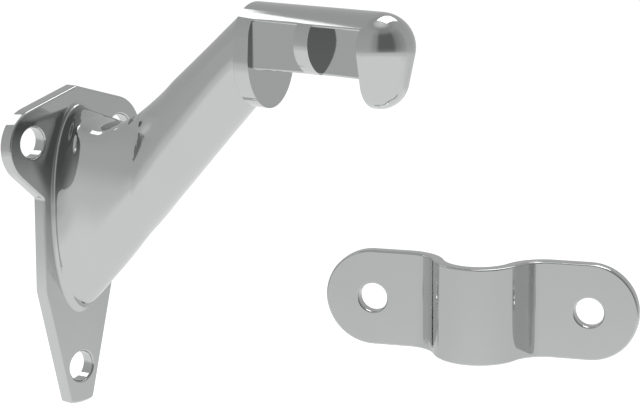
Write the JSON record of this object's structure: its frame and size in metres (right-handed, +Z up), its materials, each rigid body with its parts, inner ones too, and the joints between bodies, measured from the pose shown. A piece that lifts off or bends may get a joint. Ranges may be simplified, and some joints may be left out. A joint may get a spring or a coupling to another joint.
{
  "type": "handrail bracket",
  "caption": "Chrome wall bracket for a round-under handrail: screw plate with flared arm, ribbed cradle bar and a saddle strap that clamps the rail to it.",
  "frame": {"origin": "midway between the two upper screw holes, on the face that goes against the wall", "axes": "+X out of the wall along the cradle bar, +Y along the wall, +Z up"},
  "size_m": [0.1243, 0.0505, 0.0903],
  "materials": {
    "cast_chrome": "polished plating over a zinc casting",
    "strip_chrome": "polished plating over pressed steel strip"
  },
  "bodies": {
    "root": {"bracket": "cast_chrome", "strap": "strip_chrome"}
  },
  "joints": []
}
